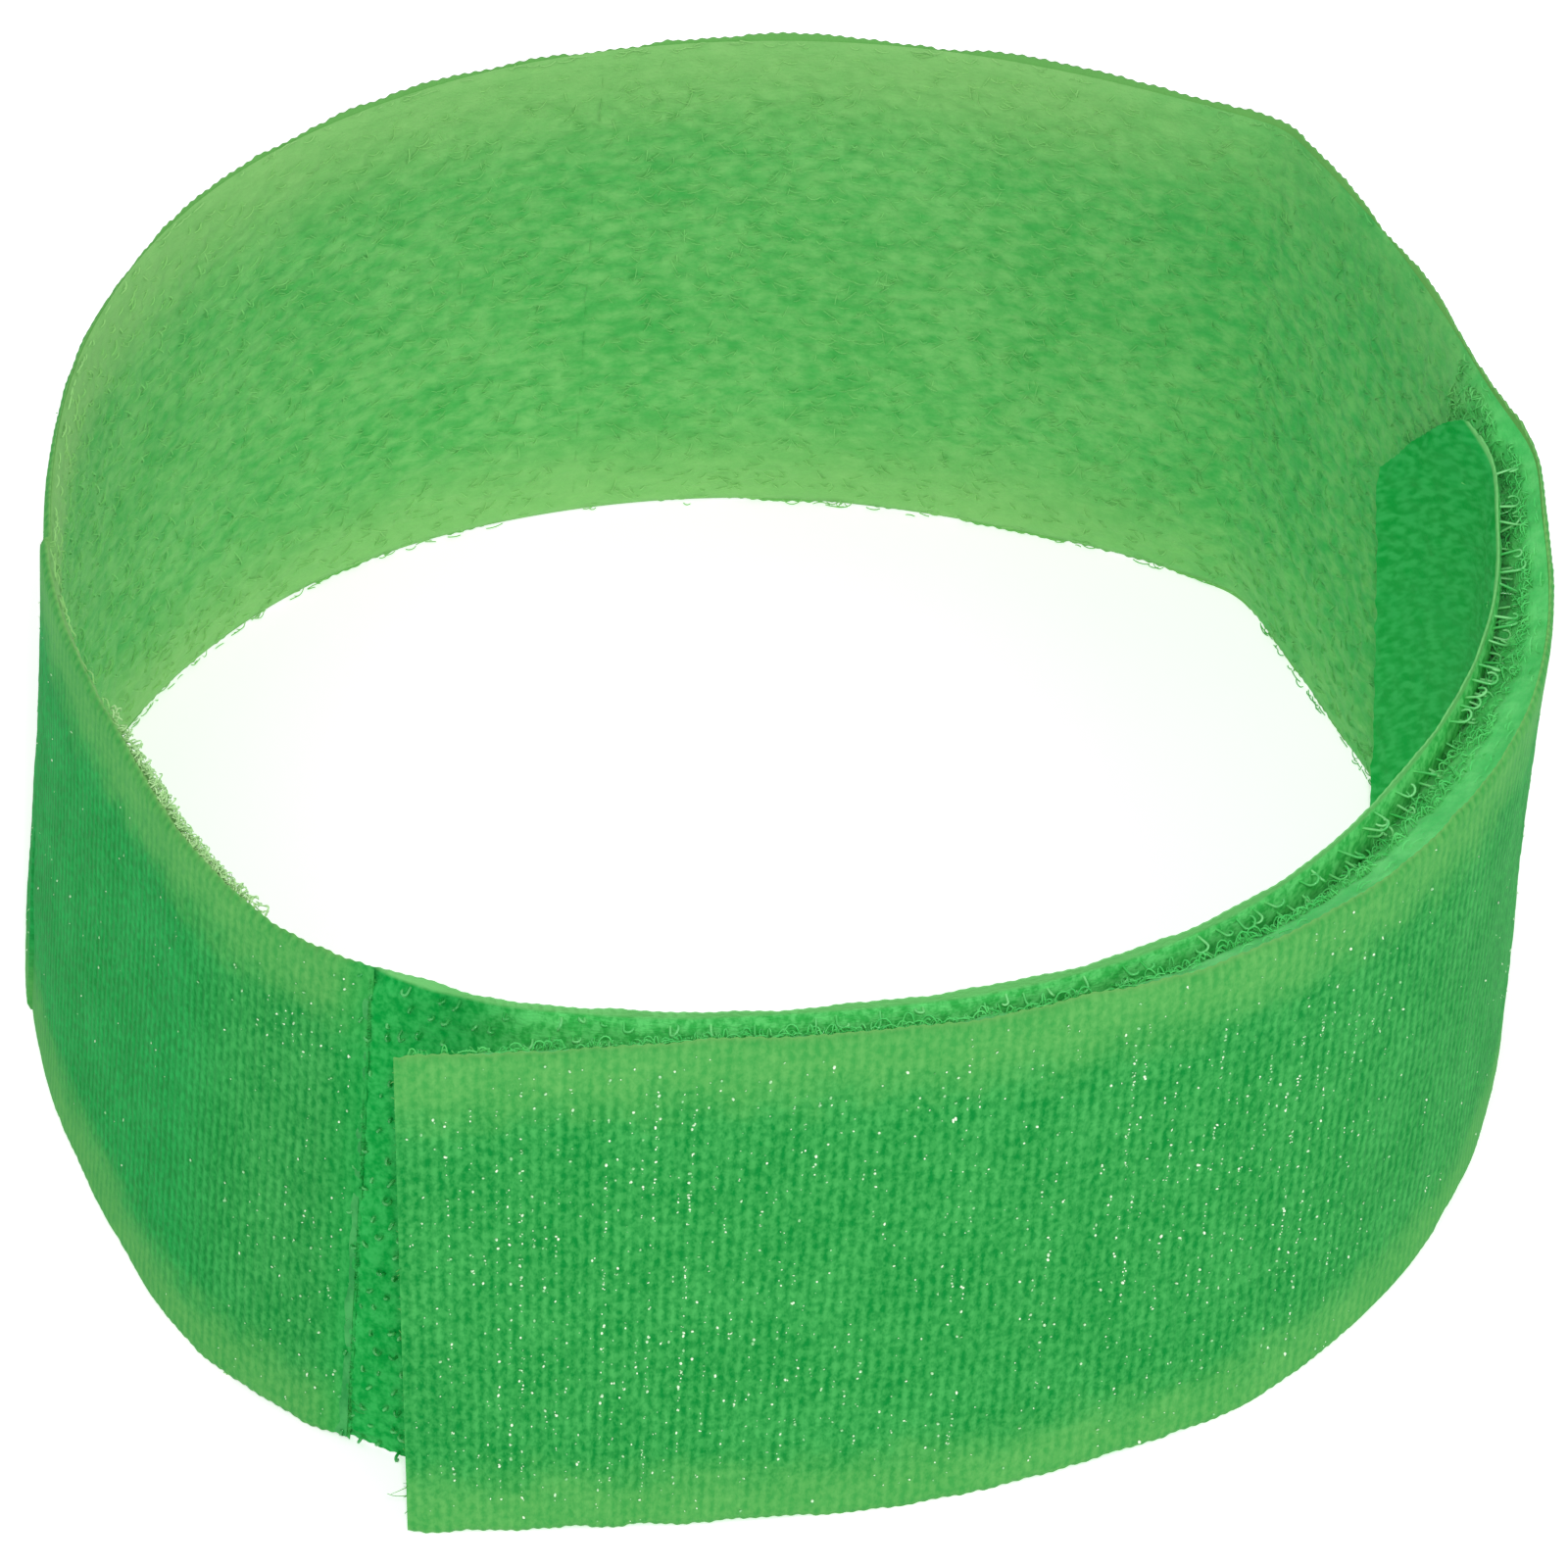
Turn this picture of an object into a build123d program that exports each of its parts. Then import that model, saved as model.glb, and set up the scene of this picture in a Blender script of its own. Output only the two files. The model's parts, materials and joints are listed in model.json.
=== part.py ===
from build123d import *
import math
import os

# Wrap-around wristband of hook-and-loop tape, closed into a ring.
# The ring stands on its lower edge at Z = 0 and its axis is the Z axis.
# Seen from above, the loop tape runs clockwise from a lap weld at the left front,
# round the left, the back and the right, and its free end, the tail, lies over
# the hook tape along the front. The hook tape runs the other way, from the same
# lap weld, along the front inside the tail, and round to the right-hand side.

# ---- driving dimensions, millimetres and degrees ----
TAPE_WIDTH = 25.0
SELVEDGE = 2.0             # plain woven margin along both long edges of each tape
WEBBING = 0.4              # thickness of either woven ground
PILE = 0.45                # brushed loops on the inner face of the loop tape
HOOK_HEIGHT = 0.55
HOOK_ROW_WIDTH = 0.7
HOOK_ROW_COUNT = 10
WELD_FILM = 0.2            # fused layer between the two tapes at the lap
TONGUE_CORNER = 8.0        # clipped off the upper corner at the free end of the hook tape

# A place is a point and a heading: x, y, and the direction of travel from +X.
LOOP_TAPE_START = (-19.1, -28.15, 141.0)

# Each run is a list of tangent arcs: radius of the outer face, and the angle turned.
# The loop tape travels clockwise, so its arcs turn by negative angles.
LEFT_LAP = [(22.0, -22.0)]
LEFT_SIDE = [(64.0, -14.0)]
BACK = [
    (39.0, -25.0),
    (30.0, -20.0),
    (26.0, -44.0),
    (36.0, -26.0),
    (54.0, -19.0),
    (4.0, -32.0),          # soft crease at the right-hand back
    (100.0, -11.0),
]
TAIL_ROOT = [(34.0, -32.0)]
TAIL_SHOULDER = [(25.0, -45.0)]
TAIL_MIDDLE = [(36.0, -26.0)]
TAIL_TIP = [(225.0, -5.3)]

# The hook tape travels counter-clockwise, and its radii are those of its inner face.
HOOK_FRONT = [
    (12.5, 36.0),
    (100.0, 9.0),
    (26.6, 50.0),
    (35.0, 19.0),
    (23.5, 29.0),
]
HOOK_TONGUE = [(50.0, 9.0)]

# ---- derived dimensions ----
PILE_HEIGHT = TAPE_WIDTH - 2 * SELVEDGE
HOOK_TAPE_DEPTH = 2 * WEBBING + WELD_FILM
CORNER_CUT = TONGUE_CORNER * math.sqrt(2)   # side of the square that clips the corner
HOOK_ROW_PITCH = (PILE_HEIGHT - HOOK_ROW_WIDTH) / (HOOK_ROW_COUNT - 1)


def walk(place, arcs):
    """Return the place at the far end of a run of tangent arcs."""
    x, y, heading = place
    for radius, turn in arcs:
        side = math.copysign(radius, turn)
        before = math.radians(heading)
        after = math.radians(heading + turn)
        x += side * (math.sin(after) - math.sin(before))
        y -= side * (math.cos(after) - math.cos(before))
        heading += turn
    return x, y, heading


def to_the_right(place, distance):
    """Return the place moved sideways, to the right of its heading."""
    x, y, heading = place
    angle = math.radians(heading)
    return x + distance * math.sin(angle), y - distance * math.cos(angle), heading


def turned_back(place):
    """Return the same point, heading the other way."""
    x, y, heading = place
    return x, y, heading - 180.0


def reversed_run(arcs, depth):
    """Return the arcs in the other direction, on the face at a depth inside them."""
    return [(radius - depth, -turn) for radius, turn in reversed(arcs)]


def side_line(place, arcs, distance):
    """Draw the run of arcs, offset to the right of travel, on the active line."""
    x, y, heading = to_the_right(place, distance)
    point = Vector(x, y)
    direction = Vector(1, 0).rotate(Axis.Z, heading)
    first = point
    for radius, turn in arcs:
        offset_radius = radius + math.copysign(distance, turn)
        arc = JernArc(start=point, tangent=direction, radius=offset_radius, arc_size=turn)
        point = arc @ 1
        direction = arc % 1
    return first, point


def layer_outline(place, arcs, near, far):
    """Face in plan of a layer between two distances to the right of its route."""
    with BuildLine(Plane.XY) as outline:
        near_first, near_last = side_line(place, arcs, near)
        far_first, far_last = side_line(place, arcs, far)
        Line(near_first, far_first)
        Line(near_last, far_last)
    make_face(outline.edges())


# ---- where each run starts ----
left_side_start = walk(LOOP_TAPE_START, LEFT_LAP)
back_start = walk(left_side_start, LEFT_SIDE)
tail_root_start = walk(back_start, BACK)
tail_shoulder_start = walk(tail_root_start, TAIL_ROOT)
tail_middle_start = walk(tail_shoulder_start, TAIL_SHOULDER)
tail_tip_start = walk(tail_middle_start, TAIL_MIDDLE)
tail_tip_end = walk(tail_tip_start, TAIL_TIP)

# The hook tape starts under the end of the loop tape, a webbing and the weld inside it.
hook_lap = reversed_run(LEFT_LAP, HOOK_TAPE_DEPTH)
hook_tape_start = turned_back(to_the_right(left_side_start, HOOK_TAPE_DEPTH))
hook_front_start = walk(hook_tape_start, hook_lap)
hook_tongue_start = walk(hook_front_start, HOOK_FRONT)
hook_tape_end = walk(hook_tongue_start, HOOK_TONGUE)
tongue_angle = math.radians(hook_tape_end[2])
tongue_face = Plane(
    origin=(hook_tape_end[0], hook_tape_end[1], 0),
    x_dir=(math.cos(tongue_angle), math.sin(tongue_angle), 0),
    z_dir=(math.sin(tongue_angle), -math.cos(tongue_angle), 0),
)

os.makedirs("parts", exist_ok=True)

# ---- loop tape, back half ----
with BuildPart() as back_webbing:
    with BuildSketch(Plane.XY):
        layer_outline(back_start, BACK, 0, WEBBING)
    extrude(amount=TAPE_WIDTH)
back_webbing.part.label = "back_webbing"
export_step(back_webbing.part, "parts/back_webbing.step")

with BuildPart() as back_pile:
    with BuildSketch(Plane.XY.offset(SELVEDGE)):
        layer_outline(back_start, BACK, WEBBING, WEBBING + PILE)
    extrude(amount=PILE_HEIGHT)
back_pile.part.label = "back_pile"
export_step(back_pile.part, "parts/back_pile.step")

# ---- loop tape, left side, down to its welded end ----
with BuildPart() as left_webbing:
    with BuildSketch(Plane.XY):
        layer_outline(LOOP_TAPE_START, LEFT_LAP + LEFT_SIDE, 0, WEBBING)
    extrude(amount=TAPE_WIDTH)
left_webbing.part.label = "left_webbing"
export_step(left_webbing.part, "parts/left_webbing.step")

with BuildPart() as left_pile:
    with BuildSketch(Plane.XY.offset(SELVEDGE)):
        layer_outline(left_side_start, LEFT_SIDE, WEBBING, WEBBING + PILE)
    extrude(amount=PILE_HEIGHT)
left_pile.part.label = "left_pile"
export_step(left_pile.part, "parts/left_pile.step")

# ---- lap weld between the two tapes ----
with BuildPart() as lap_weld:
    with BuildSketch(Plane.XY.offset(SELVEDGE)):
        layer_outline(LOOP_TAPE_START, LEFT_LAP, WEBBING, WEBBING + WELD_FILM)
    extrude(amount=PILE_HEIGHT)
lap_weld.part.label = "lap_weld"
export_step(lap_weld.part, "parts/lap_weld.step")

# ---- loop tape, tail, in four lengths that flex on each other ----
with BuildPart() as tail_root_webbing:
    with BuildSketch(Plane.XY):
        layer_outline(tail_root_start, TAIL_ROOT, 0, WEBBING)
    extrude(amount=TAPE_WIDTH)
tail_root_webbing.part.label = "tail_root_webbing"
export_step(tail_root_webbing.part, "parts/tail_root_webbing.step")

with BuildPart() as tail_root_pile:
    with BuildSketch(Plane.XY.offset(SELVEDGE)):
        layer_outline(tail_root_start, TAIL_ROOT, WEBBING, WEBBING + PILE)
    extrude(amount=PILE_HEIGHT)
tail_root_pile.part.label = "tail_root_pile"
export_step(tail_root_pile.part, "parts/tail_root_pile.step")

with BuildPart() as tail_shoulder_webbing:
    with BuildSketch(Plane.XY):
        layer_outline(tail_shoulder_start, TAIL_SHOULDER, 0, WEBBING)
    extrude(amount=TAPE_WIDTH)
tail_shoulder_webbing.part.label = "tail_shoulder_webbing"
export_step(tail_shoulder_webbing.part, "parts/tail_shoulder_webbing.step")

with BuildPart() as tail_shoulder_pile:
    with BuildSketch(Plane.XY.offset(SELVEDGE)):
        layer_outline(tail_shoulder_start, TAIL_SHOULDER, WEBBING, WEBBING + PILE)
    extrude(amount=PILE_HEIGHT)
tail_shoulder_pile.part.label = "tail_shoulder_pile"
export_step(tail_shoulder_pile.part, "parts/tail_shoulder_pile.step")

with BuildPart() as tail_middle_webbing:
    with BuildSketch(Plane.XY):
        layer_outline(tail_middle_start, TAIL_MIDDLE, 0, WEBBING)
    extrude(amount=TAPE_WIDTH)
tail_middle_webbing.part.label = "tail_middle_webbing"
export_step(tail_middle_webbing.part, "parts/tail_middle_webbing.step")

with BuildPart() as tail_middle_pile:
    with BuildSketch(Plane.XY.offset(SELVEDGE)):
        layer_outline(tail_middle_start, TAIL_MIDDLE, WEBBING, WEBBING + PILE)
    extrude(amount=PILE_HEIGHT)
tail_middle_pile.part.label = "tail_middle_pile"
export_step(tail_middle_pile.part, "parts/tail_middle_pile.step")

with BuildPart() as tail_tip_webbing:
    with BuildSketch(Plane.XY):
        layer_outline(tail_tip_start, TAIL_TIP, 0, WEBBING)
    extrude(amount=TAPE_WIDTH)
tail_tip_webbing.part.label = "tail_tip_webbing"
export_step(tail_tip_webbing.part, "parts/tail_tip_webbing.step")

with BuildPart() as tail_tip_pile:
    with BuildSketch(Plane.XY.offset(SELVEDGE)):
        layer_outline(tail_tip_start, TAIL_TIP, WEBBING, WEBBING + PILE)
    extrude(amount=PILE_HEIGHT)
tail_tip_pile.part.label = "tail_tip_pile"
export_step(tail_tip_pile.part, "parts/tail_tip_pile.step")

# ---- hook tape: woven ground with a clipped tongue, and its rows of hooks ----
with BuildPart() as hook_tape_webbing:
    with BuildSketch(Plane.XY):
        layer_outline(hook_tape_start, hook_lap + HOOK_FRONT + HOOK_TONGUE, 0, WEBBING)
    extrude(amount=TAPE_WIDTH)
    with BuildSketch(tongue_face):
        with Locations((0, TAPE_WIDTH)):
            Rectangle(CORNER_CUT, CORNER_CUT, rotation=45)
    extrude(amount=TONGUE_CORNER, both=True, mode=Mode.SUBTRACT)
hook_tape_webbing.part.label = "hook_tape_webbing"
export_step(hook_tape_webbing.part, "parts/hook_tape_webbing.step")

with BuildPart() as hook_rows:
    for row in range(HOOK_ROW_COUNT):
        row_low = SELVEDGE + row * HOOK_ROW_PITCH
        with BuildSketch(Plane.XY.offset(row_low)):
            layer_outline(hook_front_start, HOOK_FRONT, WEBBING, WEBBING + HOOK_HEIGHT)
        extrude(amount=HOOK_ROW_WIDTH)
hook_rows.part.label = "hook_rows"
export_step(hook_rows.part, "parts/hook_rows.step")

# ---- the vertical lines on which the band flexes ----
for name, place in (
    ("left hinge", back_start),
    ("tail root", tail_root_start),
    ("tail shoulder", tail_shoulder_start),
    ("tail middle", tail_middle_start),
    ("tail tip", tail_tip_start),
    ("tail end", tail_tip_end),
    ("hook front", hook_front_start),
    ("hook tongue", hook_tongue_start),
    ("hook end", hook_tape_end),
):
    print(f"{name}: x {place[0]:.3f}, y {place[1]:.3f}, heading {place[2]:.1f}")
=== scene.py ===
import json
import math

import bpy
import numpy as np
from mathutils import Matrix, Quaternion, Vector


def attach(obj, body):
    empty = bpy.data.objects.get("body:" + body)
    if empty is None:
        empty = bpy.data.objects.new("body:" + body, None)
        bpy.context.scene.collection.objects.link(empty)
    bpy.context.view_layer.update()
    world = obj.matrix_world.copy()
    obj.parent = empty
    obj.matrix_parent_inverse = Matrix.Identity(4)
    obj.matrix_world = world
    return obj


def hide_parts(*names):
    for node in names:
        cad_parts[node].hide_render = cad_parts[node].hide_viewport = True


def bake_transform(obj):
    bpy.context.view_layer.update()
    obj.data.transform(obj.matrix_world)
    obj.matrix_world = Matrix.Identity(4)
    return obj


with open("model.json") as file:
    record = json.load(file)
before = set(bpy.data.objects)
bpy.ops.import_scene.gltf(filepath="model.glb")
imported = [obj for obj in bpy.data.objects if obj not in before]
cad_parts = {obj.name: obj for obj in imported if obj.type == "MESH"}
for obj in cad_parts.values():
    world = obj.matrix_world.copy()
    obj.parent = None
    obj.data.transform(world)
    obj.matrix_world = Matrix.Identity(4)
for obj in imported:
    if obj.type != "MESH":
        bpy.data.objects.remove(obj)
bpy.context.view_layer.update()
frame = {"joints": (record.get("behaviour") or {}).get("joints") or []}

# ---------------------------------------------------------------- dimensions
# Lengths in this section are millimetres and angles are degrees, as in the CAD source.
MM = 0.001
WIDTH = 25.0               # of both tapes
WEBBING = 0.4              # thickness of either woven ground
PILE = 0.45
LAP_DEPTH = 1.0            # from outer face to inner face, through both tapes, at the weld
TONGUE_CORNER = 8.0        # clipped off the upper corner of the hook tape's free end
SELVEDGE = 2.6             # visible plain margin, which fades into the ribs
RIB_PITCH = 0.51
RIB_HEIGHT = 0.055
RIB_SAMPLES = 7            # columns of points to a rib
TWILL = (0.8, -0.6)        # direction of the hook tape's weave: along the tape, and up it

LOOP_START = (-19.1, -28.15, 141.0)
LEFT_LAP = [(22.0, -22.0)]
LEFT_SIDE = [(64.0, -14.0)]
BACK = [
    (39.0, -25.0), (30.0, -20.0), (26.0, -44.0), (36.0, -26.0),
    (54.0, -19.0), (4.0, -32.0), (100.0, -11.0),
]
TAIL_ROOT = [(34.0, -32.0)]
TAIL_SHOULDER = [(25.0, -45.0)]
TAIL_MIDDLE = [(36.0, -26.0)]
TAIL_TIP = [(225.0, -5.3)]
HOOK_FRONT = [(12.5, 36.0), (100.0, 9.0), (26.6, 50.0), (35.0, 19.0), (23.5, 29.0)]
HOOK_TONGUE = [(50.0, 9.0)]

# The soft ring doesn't stand quite upright: its lower edge lies this far from under its rim.
LEAN = (-2.1, -2.0)
# How far the rim and the lower edge stand out from the even ring, at twelve even steps round it,
# from the right-hand side by way of the back.
RIM_SWELL = (-0.5, -0.15, -0.4, -0.3, -0.4, 0.1, 0.1, -0.2, 0.0, 0.0, -0.15, -0.3)
FOOT_SWELL = (-0.25, -0.9, -0.2, 0.1, -0.1, -0.4, -0.15, -0.3, -0.3, 0.05, -0.5, -0.85)
# A crease stands out of the rim at the right: where, in degrees, its reach, and how far out.
CREASE = (6.0, 5.5, 0.45)
# The lap sags in from under the tail's end: by how much, and where round the ring, in degrees.
LAP_SAG = 1.2
LAP_SAG_CENTRE = -121.0
LAP_SAG_REACH = 24.0
LAP_SAG_LIMIT = 150.0      # how far along the loop tape the sag acts: its tail stands clear
# How much longer than its cut length each free end reads along its rim and along its foot,
# because it is cut a little askew.
TAIL_ASKEW = (0.0, -1.7)
TONGUE_ASKEW = (3.0, -3.0)
ASKEW_REACH = 18.0         # the last length of a free end, which takes up the askew cut
LAP_EXTRA = 0.7            # soft end of the loop tape past its cut line at the lap
# How much tape bends at a joint: each way at the left, and before and after the tail's hinges.
LEFT_BEND = 14.0
TAIL_BEND = (1.0, 9.0)
MIDDLE_BEND = (1.0, 7.9)
# How near the tail's pile, which the hooks have drawn up, comes to the hook tape.
PILE_CLEARANCE = 0.38
HINGE_TOLERANCE = 0.05     # between a packed joint and its place on the tape


# ---------------------------------------------------------------- routes
class Route:
    """A run of tangent arcs in plan. Distances along it and to its right are in millimetres."""

    def __init__(self, start, arcs, askew, sags_before):
        x, y, heading = start
        self.rim_askew, self.foot_askew = askew
        self.sags_before = sags_before
        self.places = []
        self.ends = [0.0]
        for radius, turn in arcs:
            self.places.append((x, y, math.radians(heading), math.copysign(radius, turn)))
            x, y, heading = self._step(x, y, heading, radius, turn)
            self.ends.append(self.ends[-1] + radius * math.radians(abs(turn)))
        self.length = self.ends[-1]

    @staticmethod
    def _step(x, y, heading, radius, turn):
        side = math.copysign(radius, turn)
        before, after = math.radians(heading), math.radians(heading + turn)
        return (
            x + side * (math.sin(after) - math.sin(before)),
            y - side * (math.cos(after) - math.cos(before)),
            heading + turn,
        )

    def plan(self, s):
        """x, y and heading (radians) at distances s, which may run a little past either end."""
        s = np.asarray(s, float)
        index = np.searchsorted(self.ends, s, side="right") - 1
        index = np.clip(index, 0, len(self.places) - 1)
        x0, y0, heading0, side = np.moveaxis(np.array(self.places)[index], -1, 0)
        heading = heading0 + (s - np.array(self.ends)[index]) / side
        x = x0 + side * (np.sin(heading) - np.sin(heading0))
        y = y0 - side * (np.cos(heading) - np.cos(heading0))
        return x, y, heading

    def points(self, s, right, z):
        """Settled points, in metres, at s along the route, right of it, and a height."""
        s, right, z = np.broadcast_arrays(s, right, z)
        height = np.clip(z / WIDTH, 0, 1)
        extra = self.rim_askew * height + self.foot_askew * (1 - height)
        x, y, heading = self.plan(s + extra * fade(s, self.length - ASKEW_REACH, self.length))
        x = x + right * np.sin(heading)
        y = y - right * np.cos(heading)
        return settle(np.stack([x, y, z], axis=-1), s < self.sags_before)

    def rightward(self, s):
        """Unit vectors to the right of the route."""
        heading = self.plan(s)[2]
        return np.stack([np.sin(heading), -np.cos(heading), np.zeros_like(heading)], axis=-1)


def noise(x, y, seed):
    """Smooth noise from -1 to 1 on a unit lattice, the same each run."""
    size = 128
    table = np.random.default_rng(seed).uniform(-1, 1, (size, size))
    x, y = np.broadcast_arrays(np.asarray(x, float), np.asarray(y, float))
    column, row = np.floor(x).astype(int), np.floor(y).astype(int)
    u, v = x - column, y - row
    u, v = u * u * (3 - 2 * u), v * v * (3 - 2 * v)
    next_column, next_row = (column + 1) % size, (row + 1) % size
    column, row = column % size, row % size
    a, b = table[column, row], table[next_column, row]
    c, d = table[column, next_row], table[next_column, next_row]
    return (a * (1 - u) + b * u) * (1 - v) + (c * (1 - u) + d * u) * v


def fade(value, low, high):
    """0 below low, 1 above high, smooth between them."""
    t = np.clip((value - low) / (high - low), 0, 1)
    return t * t * (3 - 2 * t)


def round_the_ring(steps, around):
    """A smooth value at an angle round the ring, from a value at each of several even steps."""
    steps = np.array(steps)
    place = (around / (2 * np.pi) * len(steps)) % len(steps)
    before = np.floor(place).astype(int) % len(steps)
    part = fade(place - np.floor(place), 0, 1)
    return steps[before] * (1 - part) + steps[(before + 1) % len(steps)] * part


def settle(points, sags):
    """Lean and slight unevenness of the whole soft ring, from upright millimetres to metres.
    sags is 1 for what sags in at the lap, and 0 for the tail that stands over it."""
    x, y, z = points[..., 0], points[..., 1], points[..., 2]
    share = 0.5 - z / WIDTH
    around = np.arctan2(y, x)
    swell = 0.18 * noise(around * 3.0 + 9, z / 14 + 3, 11)
    swell = swell + (0.5 - share) * round_the_ring(RIM_SWELL, around)
    swell = swell + (0.5 + share) * round_the_ring(FOOT_SWELL, around)
    from_crease = (np.degrees(around) - CREASE[0]) / CREASE[1]
    swell = swell + (0.5 - share) * CREASE[2] * np.exp(-from_crease**2)
    from_lap = np.abs(np.degrees(around) - LAP_SAG_CENTRE)
    swell = swell - LAP_SAG * sags * (1 - fade(from_lap, 2.0, LAP_SAG_REACH))
    out = np.empty(points.shape)
    out[..., 0] = x + LEAN[0] * share + swell * np.cos(around)
    out[..., 1] = y + LEAN[1] * share + swell * np.sin(around)
    out[..., 2] = z
    return out * MM


loop_route = Route(
    LOOP_START,
    LEFT_LAP + LEFT_SIDE + BACK + TAIL_ROOT + TAIL_SHOULDER + TAIL_MIDDLE + TAIL_TIP,
    TAIL_ASKEW, sags_before=LAP_SAG_LIMIT,
)


def arcs_length(arcs):
    return sum(radius * math.radians(abs(turn)) for radius, turn in arcs)


LAP_END = arcs_length(LEFT_LAP)
LEFT_HINGE = LAP_END + arcs_length(LEFT_SIDE)
ROOT_HINGE = LEFT_HINGE + arcs_length(BACK)
SHOULDER_HINGE = ROOT_HINGE + arcs_length(TAIL_ROOT)
MIDDLE_HINGE = SHOULDER_HINGE + arcs_length(TAIL_SHOULDER)
TIP_HINGE = MIDDLE_HINGE + arcs_length(TAIL_MIDDLE)
LOOP_END = loop_route.length


def check_hinges():
    """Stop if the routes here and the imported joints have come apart."""
    hinges = {
        "left_side_flex": LEFT_HINGE, "tail_root_flex": ROOT_HINGE,
        "tail_shoulder_flex": SHOULDER_HINGE, "tail_middle_flex": MIDDLE_HINGE,
        "tail_tip_flex": TIP_HINGE,
    }
    for joint in frame["joints"]:
        x, y, _ = loop_route.plan(hinges[joint["name"]])
        gap = math.hypot(x - joint["pos_m"][0] / MM, y - joint["pos_m"][1] / MM)
        if gap > HINGE_TOLERANCE:
            raise SystemExit(f"{joint['name']} is {gap:.2f} mm from its place on the tape")


check_hinges()

# The hook tape starts inside the loop tape, where the lap ends, and runs back over the lap.
lap_x, lap_y, lap_heading = loop_route.plan(np.array(LAP_END))
HOOK_START = (
    float(lap_x + LAP_DEPTH * math.sin(lap_heading)),
    float(lap_y - LAP_DEPTH * math.cos(lap_heading)),
    math.degrees(float(lap_heading)) - 180.0,
)
HOOK_LAP = [(LEFT_LAP[0][0] - LAP_DEPTH, -LEFT_LAP[0][1])]
hook_route = Route(
    HOOK_START, HOOK_LAP + HOOK_FRONT + HOOK_TONGUE, TONGUE_ASKEW, sags_before=math.inf
)
HOOK_LAP_END = arcs_length(HOOK_LAP)
CRUSHED_END = HOOK_LAP_END + 6.0   # the hooks up to here aren't covered by the tail

# Where one length of loop tape ends and the next begins: midway between two hinges.
HINGES = (LEFT_HINGE, ROOT_HINGE, SHOULDER_HINGE, MIDDLE_HINGE, TIP_HINGE)
CUTS = [(before + after) / 2 for before, after in zip(HINGES, HINGES[1:])]
LENGTHS = [
    # name, from, to, bodies, ends of the stretch that bends, nodes that it stands for
    ("left", -LAP_EXTRA, CUTS[0], ("hook_arm", "back"),
     (LEFT_HINGE - LEFT_BEND, LEFT_HINGE + LEFT_BEND), ("left", "back")),
    ("right", CUTS[0], CUTS[1], ("back", "tail_root"),
     (ROOT_HINGE - TAIL_BEND[0], ROOT_HINGE + TAIL_BEND[1]), ("tail_root",)),
    ("shoulder", CUTS[1], CUTS[2], ("tail_root", "tail_shoulder"),
     (SHOULDER_HINGE - TAIL_BEND[0], SHOULDER_HINGE + TAIL_BEND[1]), ("tail_shoulder",)),
    ("middle", CUTS[2], CUTS[3], ("tail_shoulder", "tail_middle"),
     (MIDDLE_HINGE - MIDDLE_BEND[0], MIDDLE_HINGE + MIDDLE_BEND[1]), ("tail_middle",)),
    ("tip", CUTS[3], LOOP_END, ("tail_middle", "tail_tip"),
     (TIP_HINGE - TAIL_BEND[0], TIP_HINGE + TAIL_BEND[1]), ("tail_tip",)),
]


# ---------------------------------------------------------------- mesh helpers
def new_piece(name, points, face_groups, tape_mm, material, slot, smooth=True, sharp=None):
    """A mesh object from an array of points and arrays of equal-sided faces.
    tape_mm is each point's place on the flat tape, for the materials."""
    mesh = bpy.data.meshes.new(name)
    points = np.asarray(points, np.float32).reshape(-1, 3)
    loops = np.concatenate([np.asarray(group, np.int32).ravel() for group in face_groups])
    totals = np.concatenate([np.full(len(group), len(group[0])) for group in face_groups])
    mesh.vertices.add(len(points))
    mesh.vertices.foreach_set("co", points.ravel())
    mesh.loops.add(len(loops))
    mesh.loops.foreach_set("vertex_index", loops)
    mesh.polygons.add(len(totals))
    mesh.polygons.foreach_set("loop_start", np.concatenate([[0], np.cumsum(totals)[:-1]]))
    mesh.update(calc_edges=True)
    mesh.polygons.foreach_set("use_smooth", np.full(len(totals), smooth))
    attribute = mesh.attributes.new("tape_mm", "FLOAT_VECTOR", "POINT")
    attribute.data.foreach_set("vector", np.asarray(tape_mm, np.float32).ravel())
    if sharp is not None:
        mesh.set_sharp_from_angle(angle=math.radians(sharp))
    mesh.materials.append(material)
    piece = bpy.data.objects.new(name, mesh)
    bpy.context.scene.collection.objects.link(piece)
    return piece


def ring_faces(columns, rows):
    """Quads of a tube of point columns, each a closed ring of rows points."""
    column = np.arange(columns - 1)[:, None] * rows
    row = np.arange(rows)[None, :]
    following = (row + 1) % rows
    return np.stack(
        [column + row, column + following, column + rows + following, column + rows + row], axis=-1
    ).reshape(-1, 4)


def tape_solid(route, s, outer, inner, outer_right, inner_right):
    """Closed solid of a length of tape: rings of points, one at each s.
    outer and inner are (columns, rows) heights; the two rights are distances from the route."""
    columns = len(s)
    z = np.concatenate([outer, inner[:, ::-1]], axis=1)
    right = np.concatenate([outer_right, inner_right[:, ::-1]], axis=1)
    s_grid = np.broadcast_to(s[:, None], z.shape)
    points = route.points(s_grid, right, z)
    rows = z.shape[1]
    faces = ring_faces(columns, rows)
    first = np.arange(rows)[None, ::-1]
    last = first[:, ::-1] + (columns - 1) * rows
    tape_mm = np.stack([s_grid, z, right], axis=-1)
    return points, [faces, first, last], tape_mm


def outward(points, face_groups):
    """The faces, turned so that closed solids hold a positive volume."""
    flat = np.asarray(points).reshape(-1, 3)
    quads = face_groups[0]
    a, b, c, d = (flat[quads[:, i]] for i in range(4))
    volume = np.einsum("ij,ij->", a, np.cross(b, c)) + np.einsum("ij,ij->", a, np.cross(c, d))
    return face_groups if volume > 0 else [group[:, ::-1] for group in face_groups]


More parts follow.
